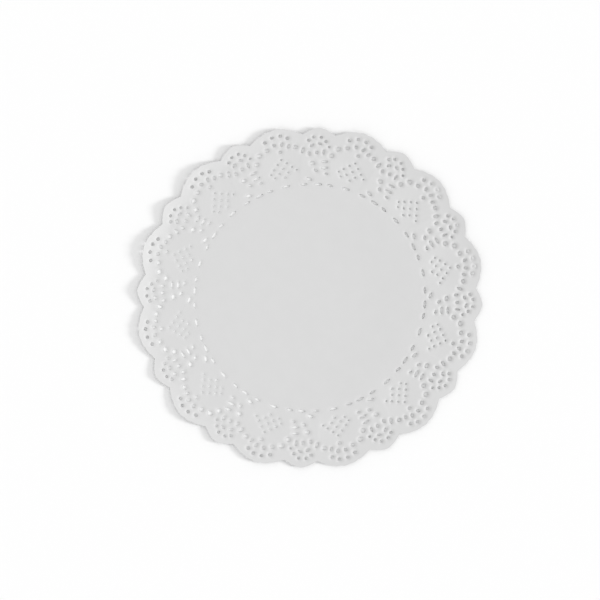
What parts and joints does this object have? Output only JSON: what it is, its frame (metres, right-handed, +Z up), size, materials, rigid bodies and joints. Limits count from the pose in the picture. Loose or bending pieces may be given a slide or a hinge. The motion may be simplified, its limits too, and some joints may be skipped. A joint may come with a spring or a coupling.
{
  "type": "paper doily",
  "caption": "Round paper doily with a plain centre, an embossed and pierced lace border and a scalloped rim, laid flat under food or as table decoration.",
  "frame": {"origin": "middle of the underside, on the surface that the doily lies on", "axes": "+Z up out of the face; +X through the middle of a wide lobe of the rim, and so are -X, +Y and -Y"},
  "size_m": [0.19, 0.1862, 0.0033],
  "materials": {
    "embossed_paper": "matt white paper, uncoated, die-cut and embossed"
  },
  "bodies": {
    "root": {"doily_sheet": "embossed_paper"}
  },
  "joints": []
}
